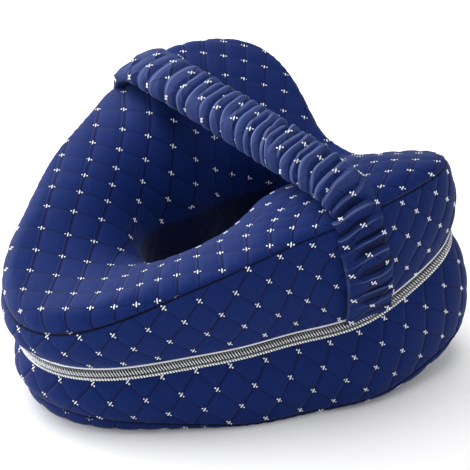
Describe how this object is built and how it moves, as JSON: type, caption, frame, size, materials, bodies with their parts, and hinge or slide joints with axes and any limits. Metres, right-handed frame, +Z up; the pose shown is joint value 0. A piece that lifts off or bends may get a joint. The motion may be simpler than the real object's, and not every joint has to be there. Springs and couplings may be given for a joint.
{
  "type": "knee pillow",
  "caption": "Contoured leg pillow: a rounded heart-shaped foam wedge with a hole through it, a quilted zipped cover and a gathered elastic strap over the leg channel.",
  "frame": {"origin": "on the floor, under the middle of the whole bounding box", "axes": "+Z up, +X across the leg channel, +Y along the channel from the low nose to the two lobes"},
  "size_m": [0.2518, 0.2644, 0.1612],
  "materials": {
    "cover_cloth": "matt navy quilted jersey with small white dots at the crossings",
    "strap_cloth": "matt navy jersey, gathered",
    "zip_tape": "light grey woven tape with a corded edge",
    "zip_metal": "satin metal teeth"
  },
  "bodies": {
    "root": {"cushion": "cover_cloth", "zip_tape_upper": "zip_tape", "zip_tape_lower": "zip_tape", "zip_chain": "zip_metal", "strap": "strap_cloth"}
  },
  "joints": []
}
